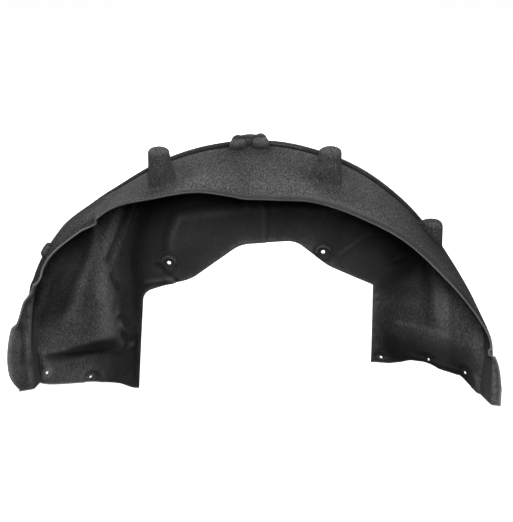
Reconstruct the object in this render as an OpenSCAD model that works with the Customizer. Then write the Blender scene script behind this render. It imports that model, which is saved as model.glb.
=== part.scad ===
// Rear wheel arch liner, one shell of felted fibre pressed in a mould.
// The wheel's axle runs along Y through the wheel centre.
// Seen from outside the car, X runs to the right, Y runs inward and Z is up.
// The shell is a loft: at each sweep angle from the left foot (0) over the
// crown (90) to the right foot (180) it has a section from the lip to the wall.
// The origin of the finished part is the mouth of the left clip hole in the wall.

/* [Arch] */
// Radius of the arch at its ridge, from the wheel centre
arch_r = 446; // [420:1:470]
// Distance of the outer lip from the wheel plane
lip_y = 130; // [115:1:145]
// Distance of the inner wall from the wheel plane
wall_y = 125; // [110:1:145]
// Distance of the ridge from the inner wall
ridge_y = 33; // [26:1:40]
// Thickness of the felt
felt_t = 3.2; // [2:0.1:4.5]
// Height of the raised rim along the ridge
rim_h = 7; // [3:0.5:9]
// Width of the raised rim's flank
rim_w = 5; // [4:0.5:9]
// Depth of the groove in front of the rim
groove_d = 4; // [0:0.5:5]
// Width of the groove in front of the rim
groove_w = 8; // [6:0.5:12]

/* [Cut-out in the inner wall] */
// Left side of the cut-out, from the wheel centre
cut_left = 233; // [228:0.5:240]
// How much further out the left side is at the foot
cut_lean = 16; // [8:0.5:18]
// Right side of the cut-out, from the wheel centre
cut_right = 240; // [232:0.5:244]
// Height of the left corner over the wheel centre
cut_left_z = 118; // [90:1:125]
// Height of the right corner over the wheel centre
cut_right_z = 134; // [110:1:145]
// Left bend of the upper edge, distance to the left of the wheel centre
cut_bend_left_x = 132; // [120:1:150]
// Left bend of the upper edge, height over the wheel centre
cut_bend_left_z = 149; // [135:1:155]
// Right bend of the upper edge, distance to the right of the wheel centre
cut_bend_right_x = 146; // [130:1:160]
// Right bend of the upper edge, height over the wheel centre
cut_bend_right_z = 177; // [160:1:182]
// Height of the cut-out's top over the wheel centre
cut_top_z = 231; // [220:1:245]
// Fall of the top towards its left end
cut_top_fall = 8; // [0:1:14]
// Left end of the top, distance to the left of the wheel centre
cut_top_left = 33; // [20:1:50]
// Right end of the top, distance to the right of the wheel centre
cut_top_right = 79; // [60:1:95]
// Length of the rounding at the left corner
cut_corner_round = 20; // [6:1:26]
// Length of the rounding at the two ends of the top
cut_top_round = 20; // [6:1:26]
// Length of the rounding at the two bends
cut_bend_round = 14; // [4:1:20]
// Length of the rounding at the right corner
cut_right_round = 3; // [1:0.5:10]

/* [Relief of the legs] */
// Height of the bulge over the left foot
bulge_h = 20; // [5:1:24]
// Length over which the bulge fades out upward
bulge_fade = 150; // [90:5:170]
// Depth of the hollow over the right foot
hollow_d = 9; // [2:0.5:12]

/* [Posts] */
// Outer radius of a post's top
post_r = 19; // [15:0.5:23]
// Rounding of a post's upper edge
post_round = 5; // [2:0.5:8]
// Slope of a post's side, outward to its foot
post_draft = 6; // [3:0.5:10]
// Height of the left post over the roof
post_left_h = 65; // [45:1:75]
// Height of the right post over the roof
post_right_h = 60; // [40:1:70]
// Height of the rear post over the roof
post_rear_h = 28; // [20:1:34]
// Left post, distance to the left of the wheel centre
post_left_x = 182; // [170:1:200]
// Right post, distance to the right of the wheel centre
post_right_x = 139; // [125:1:160]
// Rear post, distance to the right of the wheel centre
post_rear_x = 345; // [335:1:350]
// Distance of the left post from the inner wall
post_left_y = 172; // [160:1:185]
// Distance of the right post from the inner wall
post_right_y = 148; // [130:1:170]
// Distance of the rear post from the inner wall
post_rear_y = 58; // [55:1:66]
// Radius of the screw hole in the right post's top
post_bore_r = 3; // [2:0.1:4.5]
// Distance of the screw hole from the post's axis
post_bore_off = 6; // [0:0.5:9]

/* [Clip towers] */
// Radius of the two towers on the crown
tower_r = 17; // [13:0.5:20]
// Height of the two towers over the roof
tower_h = 16; // [8:0.5:20]
// Distance between the two towers
tower_gap = 44; // [40:1:60]
// Place of the pair, to the left of the wheel centre
tower_x = 14; // [0:1:30]
// Distance of the pair from the inner wall
tower_y = 43; // [40:1:55]
// Radius of the tower on the left flank
flank_tower_r = 15; // [13:0.5:20]
// Height of the tower on the left flank
flank_tower_h = 9; // [6:0.5:14]
// Sweep angle of the tower on the left flank
flank_sweep = 33; // [30:0.5:36]
// Distance of the tower on the left flank from the inner wall
flank_tower_y = 150; // [142:1:160]

/* [Clip holes] */
// Radius of the clip holes in the wall
wall_bore_r = 4; // [3:0.1:5]
// Radius of the clip holes in the feet
foot_bore_r = 3; // [2:0.1:4]
// Outer radius of the ring pressed round a wall hole
ring_r = 20; // [17:0.5:24]
// Height of the ring pressed round a wall hole
ring_h = 6; // [4:0.5:8]
// Radius of the flat seat round a wall hole
seat_r = 9; // [7:0.5:11]
// Radius of the flat seat round a foot hole
foot_seat_r = 7.5; // [6:0.5:9]
// Thickness of the seat round a foot hole
foot_seat_t = 4; // [3.5:0.1:5]
// Height of the seat round a wall hole over the wall
seat_h = 1; // [0:0.5:2]
// Left wall hole, distance to the left of the wheel centre
hole_left_x = 179; // [170:0.5:186]
// Left wall hole, height over the wheel centre
hole_left_z = 182; // [176:0.5:190]
// Right wall hole, distance to the right of the wheel centre
hole_right_x = 136; // [130:0.5:142]
// Right wall hole, height over the wheel centre
hole_right_z = 206; // [202:0.5:214]
// First foot hole, left foot, distance to the left of the wheel centre
foot_1_x = 414; // [405:1:418]
// First foot hole, height over the wheel centre
foot_1_z = 10; // [4:1:30]
// Second foot hole, left foot, distance to the left of the wheel centre
foot_2_x = 334; // [320:1:350]
// Second foot hole, height over the wheel centre
foot_2_z = -23; // [-23:1:0]
// Third foot hole, right foot, distance to the right of the wheel centre
foot_3_x = 258; // [252:1:268]
// Third foot hole, height over the wheel centre
foot_3_z = -24; // [-24:1:0]
// Fourth foot hole, right foot, distance to the right of the wheel centre
foot_4_x = 344; // [335:1:355]
// Fourth foot hole, height over the wheel centre
foot_4_z = 5; // [4:1:20]
// Fifth foot hole, right foot, distance to the right of the wheel centre
foot_5_x = 413; // [400:1:420]
// Fifth foot hole, height over the wheel centre
foot_5_z = 0; // [-4:1:20]

/* [Hidden] */

// number of stations over the half circle, and in each foot
STATIONS = 80;
FOOT_ROWS = 4;
FELT = "#2b2c2e";
// radius at which the wall would end without the cut-out
wall_end = 170;

// Lines of the section, each [sweep, radius past arch_r, depth].
// The depth of the lip lines is counted inward from the lip.
lip_line = [
    [0, 8, 34], [8, 12, 33], [15, 16, 29], [23, 20, 18], [30, 23, 6], [37, 28, 1], [46, 21, 0], [51, 13, 0],
    [54, 18, 0], [65, -5, 0], [75, -20, 0], [83, -38, 0], [88, -46, 0], [94, -45, 0], [105, -35, 0],
    [118, -31, 0], [130, -22, 0], [142, -16, 1], [152, -6, 4], [160, 5, 15], [167, 14, 24],
    [172, 12, 29], [180, 14, 36]
];
// Width of the flange outside the lip line, outward and forward
flange_line = [
    [0, 6, 3], [2, 17, 4], [4, 23, 4], [8, 26, 3], [15, 23, 3], [17, 12, 4], [23, 8, 4],
    [26, 3, 2], [34, -1, 2], [46, -2, 2], [75, -2, 2], [88, -4, 2], [105, -7, 3],
    [140, -8, 3], [155, -5, 2], [169, -2, 2], [173, 5, 3], [180, 16, 4]
];
// First shoulder behind the lip
shoulder_line = [
    [0, -12, 42], [8, -6, 40], [15, 2, 38], [23, 14, 32], [30, 26, 30], [37, 30, 35], [46, 26, 40],
    [55, 12, 40], [65, -3, 40], [75, -13, 40], [88, -34, 40], [94, -33, 40], [105, -28, 40],
    [118, -26, 40], [130, -21, 40], [142, -16, 40], [152, -6, 40], [160, 6, 42], [167, 14, 46],
    [172, 12, 50], [180, 8, 54]
];
// The ridge and the lines behind it have their depth counted outward from the wall.
ridge_line = [
    [0, -20, 142], [8, -10, 140], [15, 8, 128], [23, 26, 106], [30, 30, 88], [37, 27, 58], [46, 14, 26],
    [55, 3, 0], [65, 2, 0], [94, 2, 0], [105, -1, 0], [118, -4, 0], [130, -8, 0], [142, -9, 0],
    [150, -7, 12], [156, -1, 42], [161, 6, 76], [167, 12, 104], [172, 8, 122], [180, 0, 138]
];
// Crease where the leg turns into the wall
crease_line = [
    [0, -146, 95], [8, -142, 92], [15, -138, 87], [23, -125, 81], [30, -108, 73], [37, -82, 63],
    [46, -55, 41], [55, -22, 20], [65, -10, 13], [75, -8, 11], [118, -12, 11], [130, -17, 11],
    [142, -26, 15], [150, -36, 22], [156, -58, 52], [161, -73, 77], [167, -84, 89],
    [172, -90, 97], [180, -94, 105]
];
// Hollow corner at the foot of the wall
corner_line = [
    [0, -196, 12], [8, -194, 10], [15, -187, 7], [23, -172, 3], [30, -157, 1], [37, -132, 0], [46, -104, 0],
    [55, -82, 0], [65, -62, 0], [83, -45, 0], [105, -45, 0], [118, -50, 0], [130, -62, 0],
    [142, -86, 0], [150, -106, 0], [156, -144, 5], [161, -166, 8], [167, -180, 10],
    [172, -186, 11], [180, -190, 12]
];
// Length of the rounding at each line, [sweep, lip, shoulder, ridge, crease, corner]
round_line = [
    [0, 3, 5, 24, 10, 16], [20, 3, 8, 26, 12, 18], [45, 3, 20, 24, 20, 20], [60, 3, 20, 14, 12, 25],
    [120, 3, 20, 14, 12, 25], [140, 3, 20, 18, 12, 30], [152, 3, 14, 24, 30, 40], [180, 3, 8, 24, 40, 45]
];
// Drop of each foot's bottom edge below the wheel centre, [depth from the wheel plane, drop]
left_foot = [[-130, 3], [-60, 4], [-40, 16], [11, 35], [55, 58], [115, 96], [140, 100]];
right_foot = [
    [-130, 35], [-46, 35], [-30, 22], [-15, 11], [10, 9],
    [32, 5], [55, 9], [80, 25], [105, 36], [140, 38]
];

// A smooth curve through the rows of a table, with no overshoot
function row_at(t, x, i = 0) = (i >= len(t) - 2 || x < t[i + 1][0]) ? i : row_at(t, x, i + 1);
function rise(t, c, i) = (t[i + 1][c] - t[i][c]) / (t[i + 1][0] - t[i][0]);
function mean_rise(a, b, h, k) = (a * b <= 0) ? 0 : 3 * (h + k) / ((2 * k + h) / a + (k + 2 * h) / b);
function rise_at(t, c, i) =
    (i == 0) ? rise(t, c, 0) :
    (i == len(t) - 1) ? rise(t, c, i - 1) :
    mean_rise(rise(t, c, i - 1), rise(t, c, i), t[i][0] - t[i - 1][0], t[i + 1][0] - t[i][0]);
function ease(s, h, a, b, ma, mb) =
    (2 * s * s * s - 3 * s * s + 1) * a + (s * s * s - 2 * s * s + s) * h * ma
    + (3 * s * s - 2 * s * s * s) * b + (s * s * s - s * s) * h * mb;
function curve(t, c, x) =
    let (i = row_at(t, x), h = t[i + 1][0] - t[i][0], s = (x - t[i][0]) / h)
    ease(min(1, max(0, s)), h, t[i][c], t[i + 1][c], rise_at(t, c, i), rise_at(t, c, i + 1));
function fade(x, a, b) = let (s = min(1, max(0, (x - a) / (b - a)))) s * s * (3 - 2 * s);

// Corners of the section at a sweep angle, each [radius, y]
function lip_pt(w) = [arch_r + curve(lip_line, 1, w), -lip_y + curve(lip_line, 2, w)];
function edge_pt(w) = lip_pt(w) + [curve(flange_line, 1, w), -curve(flange_line, 2, w)];
function shoulder_pt(w) = [arch_r + curve(shoulder_line, 1, w), -lip_y + curve(shoulder_line, 2, w)];
function ridge_pt(w) = [arch_r + curve(ridge_line, 1, w), wall_y - ridge_y - curve(ridge_line, 2, w)];
function crease_pt(w) = [arch_r + curve(crease_line, 1, w), wall_y - curve(crease_line, 2, w)];
function corner_pt(w) = [arch_r + curve(corner_line, 1, w), wall_y - curve(corner_line, 2, w)];
// The wall leans forward at the two feet.
FOOT_LEAN = 5;
function wall_pt(w) = [wall_end, wall_y - FOOT_LEAN * (1 - fade(w, 0, 20) + fade(w, 165, 180))];
// The raised rim grows out of the ridge past RIM_START and is gone again at RIM_END, each [from, to].
// The groove before it lies between the rim's foot and the crest of the roof.
RIM_START = [40, 56];
RIM_END = [138, 150];
RIM_ROUND = 3;
function rim_fade(w) = fade(w, RIM_START[0], RIM_START[1]) * (1 - fade(w, RIM_END[0], RIM_END[1]));
function roof_pt(w, from_ridge, drop) =
    let (a = shoulder_pt(w), b = ridge_pt(w))
    a + (b - a) * (1 - from_ridge / norm(b - a)) - [drop * rim_fade(w), 0];
function crest_pt(w) = roof_pt(w, rim_w + groove_w, rim_h);
function rim_pt(w) = roof_pt(w, rim_w, rim_h + groove_d);

function section_corners(w) = [
    edge_pt(w), lip_pt(w), shoulder_pt(w), crest_pt(w), rim_pt(w),
    ridge_pt(w), crease_pt(w), corner_pt(w), wall_pt(w)
];
function roundings(w) = [
    0, curve(round_line, 1, w), curve(round_line, 2, w), RIM_ROUND, RIM_ROUND,
    curve(round_line, 3, w), curve(round_line, 4, w), curve(round_line, 5, w), 0
];
// Spans on the straight before each corner, and round it
STRAIGHT = [0, 1, 1, 4, 1, 1, 6, 2, 1];
BEND = [0, 1, 2, 1, 1, 2, 2, 3, 0];

// A rounding takes no more than this share of the straight on each side of it.
BEND_SHARE = 0.45;
function unit(v) = v / norm(v);
function bend_len(p, r, i) =
    (i == 0 || i == len(p) - 1) ? 0 :
    min(r[i], BEND_SHARE * norm(p[i] - p[i - 1]), BEND_SHARE * norm(p[i + 1] - p[i]));
function before(p, r, i) = p[i] - (i == 0 ? [0, 0] : unit(p[i] - p[i - 1]) * bend_len(p, r, i));
function after(p, r, i) = p[i] + (i == len(p) - 1 ? [0, 0] : unit(p[i + 1] - p[i]) * bend_len(p, r, i));
function bezier(a, b, c, s) = (1 - s) * (1 - s) * a + 2 * s * (1 - s) * b + s * s * c;
function section(w) =
    let (p = section_corners(w), r = roundings(w))
    [p[0], for (i = [1:len(p) - 1])
        let (a = after(p, r, i - 1), b = before(p, r, i), c = after(p, r, i))
        each concat(
            [for (k = [1:STRAIGHT[i]]) a + (b - a) * k / STRAIGHT[i]],
            BEND[i] == 0 ? [] : [for (k = [1:BEND[i]]) bezier(b, p[i], c, k / BEND[i])])];

// The whole surface, in rows from the left foot over the crown to the right foot
function arch_row(w) = [for (q = section(w)) [-q[0] * cos(w), q[1], q[0] * sin(w)]];
function foot_row(side, k) =
    let (w = side < 0 ? 0 : 180, t = side < 0 ? left_foot : right_foot)
    [for (q = section(w)) [side * q[0], q[1], -k * curve(t, 1, q[1])]];
plain_rows = concat(
    [for (k = [FOOT_ROWS:-1:1]) foot_row(-1, k / FOOT_ROWS)],
    [for (i = [0:STATIONS]) arch_row(180 * i / STATIONS)],
    [for (k = [1:FOOT_ROWS]) foot_row(1, k / FOOT_ROWS)]
);

// The left leg bulges forward over its foot and steps back below, each
// [x, height of the step's top, height of its foot, share of the bulge].
bulge_line = [
    [-430, 50, 43, 0], [-413, 51, 43, 0.05], [-389, 51, 43, 0.25], [-361, 56, 38, 0.55], [-333, 60, 30, 0.85],
    [-318, 60, 26, 1], [-304, 55, 22, 1], [-288, 30, 11, 0.6], [-275, 12, 2, 0]
];
function column(t, c) = [for (q = t) [q[0], q[c]]];
function bulge(x, z) =
    let (top = lookup(x, column(bulge_line, 1)), low = lookup(x, column(bulge_line, 2)))
    bulge_h * lookup(x, column(bulge_line, 3)) * fade(z, low, top) * (1 - fade(z, top, top + bulge_fade));
// The right leg is pressed back over its foot, deepest at a standing edge, each
// [z, share of the depth, x of the edge].
hollow_line = [[62, 0, 352], [75, 1, 353], [100, 1, 355], [150, 0.7, 350], [215, 0.2, 330], [250, 0, 325]];
HOLLOW_FROM = [255, 335];
HOLLOW_EDGE = 16;
function hollow(x, z) =
    let (edge = lookup(z, column(hollow_line, 2)))
    hollow_d * lookup(z, column(hollow_line, 1))
    * fade(x, HOLLOW_FROM[0], HOLLOW_FROM[1]) * (1 - fade(x, edge, edge + HOLLOW_EDGE));
rows = [for (g = plain_rows) [for (q = g) q + [0, hollow(q[0], q[2]) - bulge(q[0], q[2]), 0]]];

// The loft is thickened on both sides of its middle surface.
function pick(v, i) = v[min(len(v) - 1, max(0, i))];
function normal_at(g, i, j) =
    unit(cross(pick(g, i + 1)[j] - pick(g, i - 1)[j], pick(g[i], j + 1) - pick(g[i], j - 1)));
function skin(g, d) = [for (i = [0:len(g) - 1]) for (j = [0:len(g[0]) - 1]) g[i][j] + d * normal_at(g, i, j)];
function quads(n, m, base, flip) = [
    for (i = [0:n - 2]) for (j = [0:m - 2])
        let (a = base + i * m + j, b = a + 1, c = a + m, d = c + 1)
        each (flip ? [[a, c, b], [b, c, d]] : [[a, b, c], [b, d, c]])
];
function rim_ring(n, m) = concat(
    [for (j = [0:m - 2]) j], [for (i = [0:n - 2]) i * m + m - 1],
    [for (j = [m - 1:-1:1]) (n - 1) * m + j], [for (i = [n - 1:-1:1]) i * m]
);
function rim_quads(ring, base) = [
    for (k = [0:len(ring) - 1])
        let (a = ring[k], b = ring[(k + 1) % len(ring)])
        each [[b, a, b + base], [b + base, a, a + base]]
];
module loft(g, t) {
    n = len(g);
    m = len(g[0]);
    polyhedron(
        points = concat(skin(g, t / 2), skin(g, -t / 2)),
        faces = concat(quads(n, m, 0, false), quads(n, m, n * m, true), rim_quads(rim_ring(n, m), n * m)),
        convexity = 12
    );
}

// Places on the shell, from the same sections.
// The section's points run inward on the roof as far as LAST_ROOF, and the legs start at FIRST_LEG.
LAST_ROOF = 14;
FIRST_LEG = 15;
function roof_radius(w, y) = let (q = section(w)) lookup(y, [for (k = [2:LAST_ROOF]) [q[k][1], q[k][0]]]);
function sweep_of(x, r) = 90 + asin(x / r);
// A place on the roof, [x, y, z, sweep], with the radius found by rounds of trial
function roof_point(x, y, r = arch_r, n = 12) =
    let (w = sweep_of(x, r), found = max(abs(x) + 1, (r + roof_radius(w, y)) / 2))
    (n == 0) ? [x, y, r * sin(w), w] : roof_point(x, y, found, n - 1);
function leg_y(x, z) =
    let (w = (z > 0) ? atan2(z, -x) : (x < 0 ? 0 : 180), r = (z > 0) ? norm([x, z]) : abs(x), q = section(w))
    lookup(r, [for (k = [FIRST_LEG:len(q) - 1]) [q[k][0], q[k][1]]]);
// The direction in which the leg faces, measured over a small step to each side
STEP = 2;
function leg_facing(x, z) =
    unit([leg_y(x + STEP, z) - leg_y(x - STEP, z), -2 * STEP, leg_y(x, z + STEP) - leg_y(x, z - STEP)]);

// Everything below the roof's middle surface at a place, less a sink
module under_roof(p, r, sink) {
    front = roof_radius(p[3], p[1] - r);
    back = roof_radius(p[3], p[1] + r);
    low = min(0, (front + back) / 2 - roof_radius(p[3], p[1]));
    size = 5 * r;
    translate([p[0], p[1], p[2]])
        rotate([0, p[3] - 90, 0])
            translate([0, 0, low - sink])
                rotate([atan2(back - front, 2 * r), 0, 0])
                    translate([-size, -size, -2 * size])
                        cube([2 * size, 2 * size, 2 * size]);
}

// What stands far out on the flanks moves with the arch's radius. Its distance from the wheel
// centre is the one at this radius.
FLANK_ARCH_R = 446;
outward = arch_r - FLANK_ARCH_R;

// Hollow posts, drawn straight up out of the roof, each [x, y, height, sink of its foot].
// The rear post stands on the steep flank, so it moves with it and sinks deeper into the felt.
POST_SINK = 3;
REAR_POST_SINK = 6;
posts = [
    [-post_left_x, wall_y - post_left_y, post_left_h, POST_SINK],
    [post_right_x, wall_y - post_right_y, post_right_h, POST_SINK],
    [post_rear_x + outward, wall_y - post_rear_y, post_rear_h, REAR_POST_SINK]
];
POST_DEPTH = 38;
module post_form(r_top, h) {
    r_foot = r_top + (h + POST_DEPTH) * tan(post_draft);
    rotate_extrude($fn = 64)
        polygon(concat(
            [[0, -POST_DEPTH], [r_foot, -POST_DEPTH]],
            [for (a = [0:22.5:90]) [r_top - post_round * (1 - cos(a)), h - post_round * (1 - sin(a))]],
            [[0, h]]
        ));
}
module post_skin(s) {
    p = roof_point(s[0], s[1]);
    difference() {
        translate([p[0], p[1], p[2]])
            post_form(post_r, s[2]);
        under_roof(p, post_r + s[2] * tan(post_draft), s[3]);
    }
}
module post_hollow(s) {
    p = roof_point(s[0], s[1]);
    translate([p[0], p[1], p[2]])
        post_form(post_r - felt_t, s[2] - felt_t);
}
module post_bore() {
    s = posts[1];
    p = roof_point(s[0], s[1]);
    translate([p[0] + post_bore_off, p[1], p[2] + s[2] - 2 * felt_t])
        cylinder(r = post_bore_r, h = 4 * felt_t, $fn = 32);
}

// Round clip towers, each [place on the roof, radius, height, lean of its axis from upright]
TOWER_DEPTH = 24;
TOWER_SINK = 5;
// share of a tower's top that is flat
TOWER_FLAT = 0.35;
function roof_at(w, y) = let (r = roof_radius(w, y)) [-r * cos(w), y, r * sin(w), w];
towers = [
    [roof_point(-tower_x - tower_gap / 2, wall_y - tower_y), tower_r, tower_h, 0],
    [roof_point(-tower_x + tower_gap / 2, wall_y - tower_y), tower_r, tower_h, 0],
    [roof_at(flank_sweep, wall_y - flank_tower_y), flank_tower_r, flank_tower_h, flank_sweep - 90]
];
module tower_form(r, h) {
    rotate_extrude($fn = 48)
        polygon(concat(
            [[0, -TOWER_DEPTH], [r, -TOWER_DEPTH]],
            [for (a = [0:15:75]) [r * (TOWER_FLAT + (1 - TOWER_FLAT) * cos(a)), h * sin(a)]],
            [[r * TOWER_FLAT, h], [0, h]]
        ));
}
module tower_at(s, inset) {
    p = s[0];
    translate([p[0], p[1], p[2]])
        rotate([0, s[3], 0])
            tower_form(s[1] - inset, s[2] - inset);
}
module tower_skin(s) {
    difference() {
        tower_at(s, 0);
        under_roof(s[0], s[1], TOWER_SINK);
    }
}
module tower_hollow(s) {
    tower_at(s, felt_t);
}

// Clip holes in the wall: a ring pressed outward round a flat seat, each [x, z]
wall_holes = [[-hole_left_x, hole_left_z], [hole_right_x, hole_right_z]];
RING_SLOPE = 3;
RING_EASE = 1;
// reach of a bore to each side of the felt
BORE_REACH = 12;
module on_wall(c) {
    translate([c[0], wall_y, c[1]])
        rotate([90, 0, 0])
            children();
}
module ring_room(c) {
    on_wall(c)
        translate([0, 0, -BORE_REACH])
            cylinder(r = ring_r - RING_EASE, h = 2 * BORE_REACH, $fn = 64);
}
module wall_ring(c) {
    front = felt_t / 2;
    back = -felt_t / 2;
    top = front + ring_h;
    under = back + ring_h;
    on_wall(c)
        rotate_extrude($fn = 64)
            polygon([
                [0, front + seat_h], [seat_r, front + seat_h],
                [seat_r + RING_SLOPE / 2, top - RING_EASE], [seat_r + RING_SLOPE, top],
                [ring_r - RING_SLOPE - RING_EASE, top - RING_EASE / 2], [ring_r, front],
                [ring_r, back], [ring_r - 2 * RING_EASE, back],
                [ring_r - RING_SLOPE - 2 * RING_EASE, under], [seat_r + felt_t, under],
                [seat_r + felt_t, back + seat_h], [0, back + seat_h]
            ]);
}
module wall_bore(c) {
    on_wall(c)
        translate([0, 0, -BORE_REACH])
            cylinder(r = wall_bore_r, h = 2 * BORE_REACH, $fn = 32);
}

// Clip holes along the feet: a flat disc square to the leg, each [x, z].
// The first and the last sit near the outer edge of their leg, so they move with the arch's radius.
foot_holes = [
    [-foot_1_x - outward, foot_1_z], [-foot_2_x, foot_2_z],
    [foot_3_x, foot_3_z], [foot_4_x, foot_4_z], [foot_5_x + outward, foot_5_z]
];
module on_leg(c) {
    v = leg_facing(c[0], c[1]);
    translate([c[0], leg_y(c[0], c[1]), c[1]])
        rotate([0, acos(v[2]), atan2(v[1], v[0])])
            children();
}
module foot_seat(c) {
    on_leg(c)
        translate([0, 0, -foot_seat_t / 2])
            cylinder(r = foot_seat_r, h = foot_seat_t, $fn = 32);
}
module foot_bore(c) {
    on_leg(c)
        translate([0, 0, -BORE_REACH])
            cylinder(r = foot_bore_r, h = 2 * BORE_REACH, $fn = 32);
}

// Outline of the cut-out, each corner [x, z, length of its rounding]
CUT_DEPTH = 160;
// reach of the cut-out past the wall and past the lip
CUT_REACH = 40;
// spans round each corner of the cut-out
CUT_SPANS = 6;
cut_corners = [
    [-cut_left - cut_lean * (1 + CUT_DEPTH / cut_left_z) / 2, -CUT_DEPTH, 0],
    [-cut_left, cut_left_z, cut_corner_round],
    [-cut_bend_left_x, cut_bend_left_z, cut_bend_round],
    [-cut_top_left, cut_top_z - cut_top_fall, cut_top_round],
    [cut_top_right, cut_top_z, cut_top_round],
    [cut_bend_right_x, cut_bend_right_z, cut_bend_round],
    [cut_right, cut_right_z, cut_right_round],
    [cut_right, -CUT_DEPTH, 0]
];
function flat(p) = [p[0], p[1]];
function rounded(c, i) =
    let (p = flat(c[i]), r = c[i][2])
    (r == 0) ? [p] :
    let (a = p + r * unit(flat(c[i - 1]) - p), b = p + r * unit(flat(c[i + 1]) - p))
    [for (k = [0:CUT_SPANS]) bezier(a, p, b, k / CUT_SPANS)];
module cut_out() {
    translate([0, wall_y + CUT_REACH, 0])
        rotate([90, 0, 0])
            linear_extrude(height = lip_y + wall_y + 2 * CUT_REACH)
                polygon([for (i = [0:len(cut_corners) - 1]) each rounded(cut_corners, i)]);
}

module arch_liner() {
    color(FELT)
        translate([hole_left_x, -wall_y, -hole_left_z])
            difference() {
                union() {
                    difference() {
                        loft(rows, felt_t);
                        for (c = wall_holes) ring_room(c);
                    }
                    for (c = wall_holes) wall_ring(c);
                    for (c = foot_holes) foot_seat(c);
                    for (s = posts) post_skin(s);
                    for (s = towers) tower_skin(s);
                }
                for (s = posts) post_hollow(s);
                for (s = towers) tower_hollow(s);
                for (c = wall_holes) wall_bore(c);
                for (c = foot_holes) foot_bore(c);
                post_bore();
                cut_out();
            }
}

arch_liner();
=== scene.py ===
# %% [markdown]
# The object is the liner of a rear wheel arch: one shell of black needled felt, pressed hot in a mould.
# It arches over the tyre, has a back wall with a cut-out for the axle, two legs that end in feet,
# hollow posts that reach up to the body, small domed clip towers, and round clip holes.
# This first cell loads the imported part as a fixed frame. Every later piece is made in that frame,
# in metres, so nothing has to be fitted by hand.
# %% The fixed frame
import bmesh
import bpy
import numpy as np
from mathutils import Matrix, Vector
from mathutils.kdtree import KDTree


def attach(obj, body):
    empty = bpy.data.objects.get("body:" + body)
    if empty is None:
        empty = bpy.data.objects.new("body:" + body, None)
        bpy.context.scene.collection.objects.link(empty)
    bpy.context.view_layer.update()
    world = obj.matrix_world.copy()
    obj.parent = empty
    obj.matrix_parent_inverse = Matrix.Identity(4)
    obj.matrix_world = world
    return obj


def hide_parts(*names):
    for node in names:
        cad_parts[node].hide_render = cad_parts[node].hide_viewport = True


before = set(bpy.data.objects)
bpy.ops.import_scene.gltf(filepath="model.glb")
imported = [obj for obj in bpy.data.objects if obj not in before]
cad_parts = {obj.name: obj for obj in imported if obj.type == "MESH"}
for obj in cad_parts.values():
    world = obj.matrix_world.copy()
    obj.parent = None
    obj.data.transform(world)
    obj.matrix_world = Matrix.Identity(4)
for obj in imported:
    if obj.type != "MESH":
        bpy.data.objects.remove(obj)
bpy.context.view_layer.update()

# %% [markdown]
# The photograph looks at the liner from outside the car, from 20 degrees above the level.
# A long lens keeps the two legs parallel, so the camera stands 2.6 m away from a point in the arch.
# The lens length follows from one measure: at that distance one pixel covers 1.95 mm.
# %% The camera
PHOTO_WIDTH = 513
METRES_PER_PIXEL = 0.00195
SENSOR_MM = 36
AIM = Vector((0.179, -0.125, 0.048))
DISTANCE = 2.6
ABOVE = np.radians(20)
eye = AIM + DISTANCE * Vector((0, -np.cos(ABOVE), np.sin(ABOVE)))
lens = bpy.data.cameras.new("camera")
camera = bpy.data.objects.new("camera", lens)
bpy.context.scene.collection.objects.link(camera)
camera.location = eye
camera.rotation_euler = (AIM - eye).to_track_quat("-Z", "Y").to_euler()
lens.sensor_fit = "HORIZONTAL"
lens.sensor_width = SENSOR_MM
lens.lens = SENSOR_MM * DISTANCE / (PHOTO_WIDTH * METRES_PER_PIXEL)
lens.clip_end = 60
bpy.context.scene.camera = camera
print("lens in mm:", round(lens.lens, 2))

# %% [markdown]
# A pressed felt shell is drawn like a boat's hull: by sections. A section is a line across the shell,
# from the outer lip over the roof and the ridge, down the leg or the wall. Each corner of the section
# wanders as the section sweeps from the left foot (0 degrees) over the crown (90) to the right foot (180).
# The wandering is written as a few chosen rows, [sweep, radius past the arch, depth], and a smooth curve
# joins the rows. A spline that overshoots would add waves to the felt, so the slopes are kept monotone.
# Up to the moment when a mesh is made, all lengths are millimetres from the wheel's centre: x runs to the
# right, y inward and z up. LIP_Y and WALL_Y are how far the lip and the wall lie in front of and behind
# the middle of the wheel, and RIDGE_Y is how far the ridge stands in front of the wall.
# %% Smooth curves through a few rows
ARCH_R = 446.0
LIP_Y = 130.0
WALL_Y = 125.0
RIDGE_Y = 33.0
FELT = 3.2
WALL_END = 190.0


def curve(rows, column, x):
    """The value of one column at x, on a smooth curve through the rows that never overshoots."""
    t = np.array(rows, float)
    xs, ys = t[:, 0], t[:, column]
    h = np.diff(xs)
    d = np.diff(ys) / h
    m = np.concatenate([[d[0]], np.zeros(len(xs) - 2), [d[-1]]])
    for i in range(1, len(xs) - 1):
        if d[i - 1] * d[i] > 0:
            m[i] = 3 * (h[i - 1] + h[i]) / ((2 * h[i] + h[i - 1]) / d[i - 1] + (h[i] + 2 * h[i - 1]) / d[i])
    x = np.clip(np.asarray(x, float), xs[0], xs[-1])
    i = np.clip(np.searchsorted(xs, x, side="right") - 1, 0, len(xs) - 2)
    s = (x - xs[i]) / h[i]
    return ((2 * s**3 - 3 * s**2 + 1) * ys[i] + (s**3 - 2 * s**2 + s) * h[i] * m[i]
            + (3 * s**2 - 2 * s**3) * ys[i + 1] + (s**3 - s**2) * h[i] * m[i + 1])


def fade(x, a, b):
    """0 up to a, 1 from b on, and a soft slope between them. With a above b it falls."""
    s = np.clip((np.asarray(x, float) - a) / (b - a), 0, 1)
    return s * s * (3 - 2 * s)


print("a fade from 0 to 10 is half way at 5:", float(fade(5, 0, 10)))

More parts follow.
